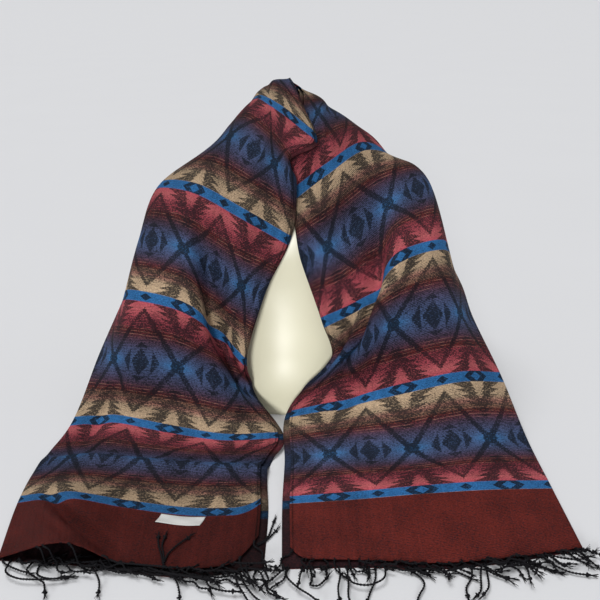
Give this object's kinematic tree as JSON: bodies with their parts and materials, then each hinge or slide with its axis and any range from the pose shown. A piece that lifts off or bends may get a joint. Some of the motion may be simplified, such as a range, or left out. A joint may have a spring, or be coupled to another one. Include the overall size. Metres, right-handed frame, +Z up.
{
  "type": "pashmina shawl on a limbless dress form",
  "caption": "Fringed woven pashmina shawl, folded lengthwise and draped round the neck of a plain limbless dress form, with both ends lying forward on the table.",
  "frame": {"origin": "on the dress form's base, under its neck, at table height", "axes": "+Z up from the table, the shawl's front and its two ends towards -Y, +X to the right seen from the front"},
  "size_m": [0.6893, 0.7407, 0.4765],
  "materials": {
    "shawl_cloth": "soft twill jacquard",
    "fringe_yarn": "twisted yarn",
    "label_tape": "satin tape, blank",
    "form_shell": "gloss"
  },
  "bodies": {
    "root": {"shawl_left_front": "shawl_cloth", "shawl_round_neck": "shawl_cloth", "shawl_right_front": "shawl_cloth", "label": "label_tape", "fringe_left_upper": "fringe_yarn", "fringe_left_under": "fringe_yarn", "fringe_right_upper": "fringe_yarn", "fringe_right_under": "fringe_yarn", "dress_form": "form_shell"}
  },
  "joints": []
}
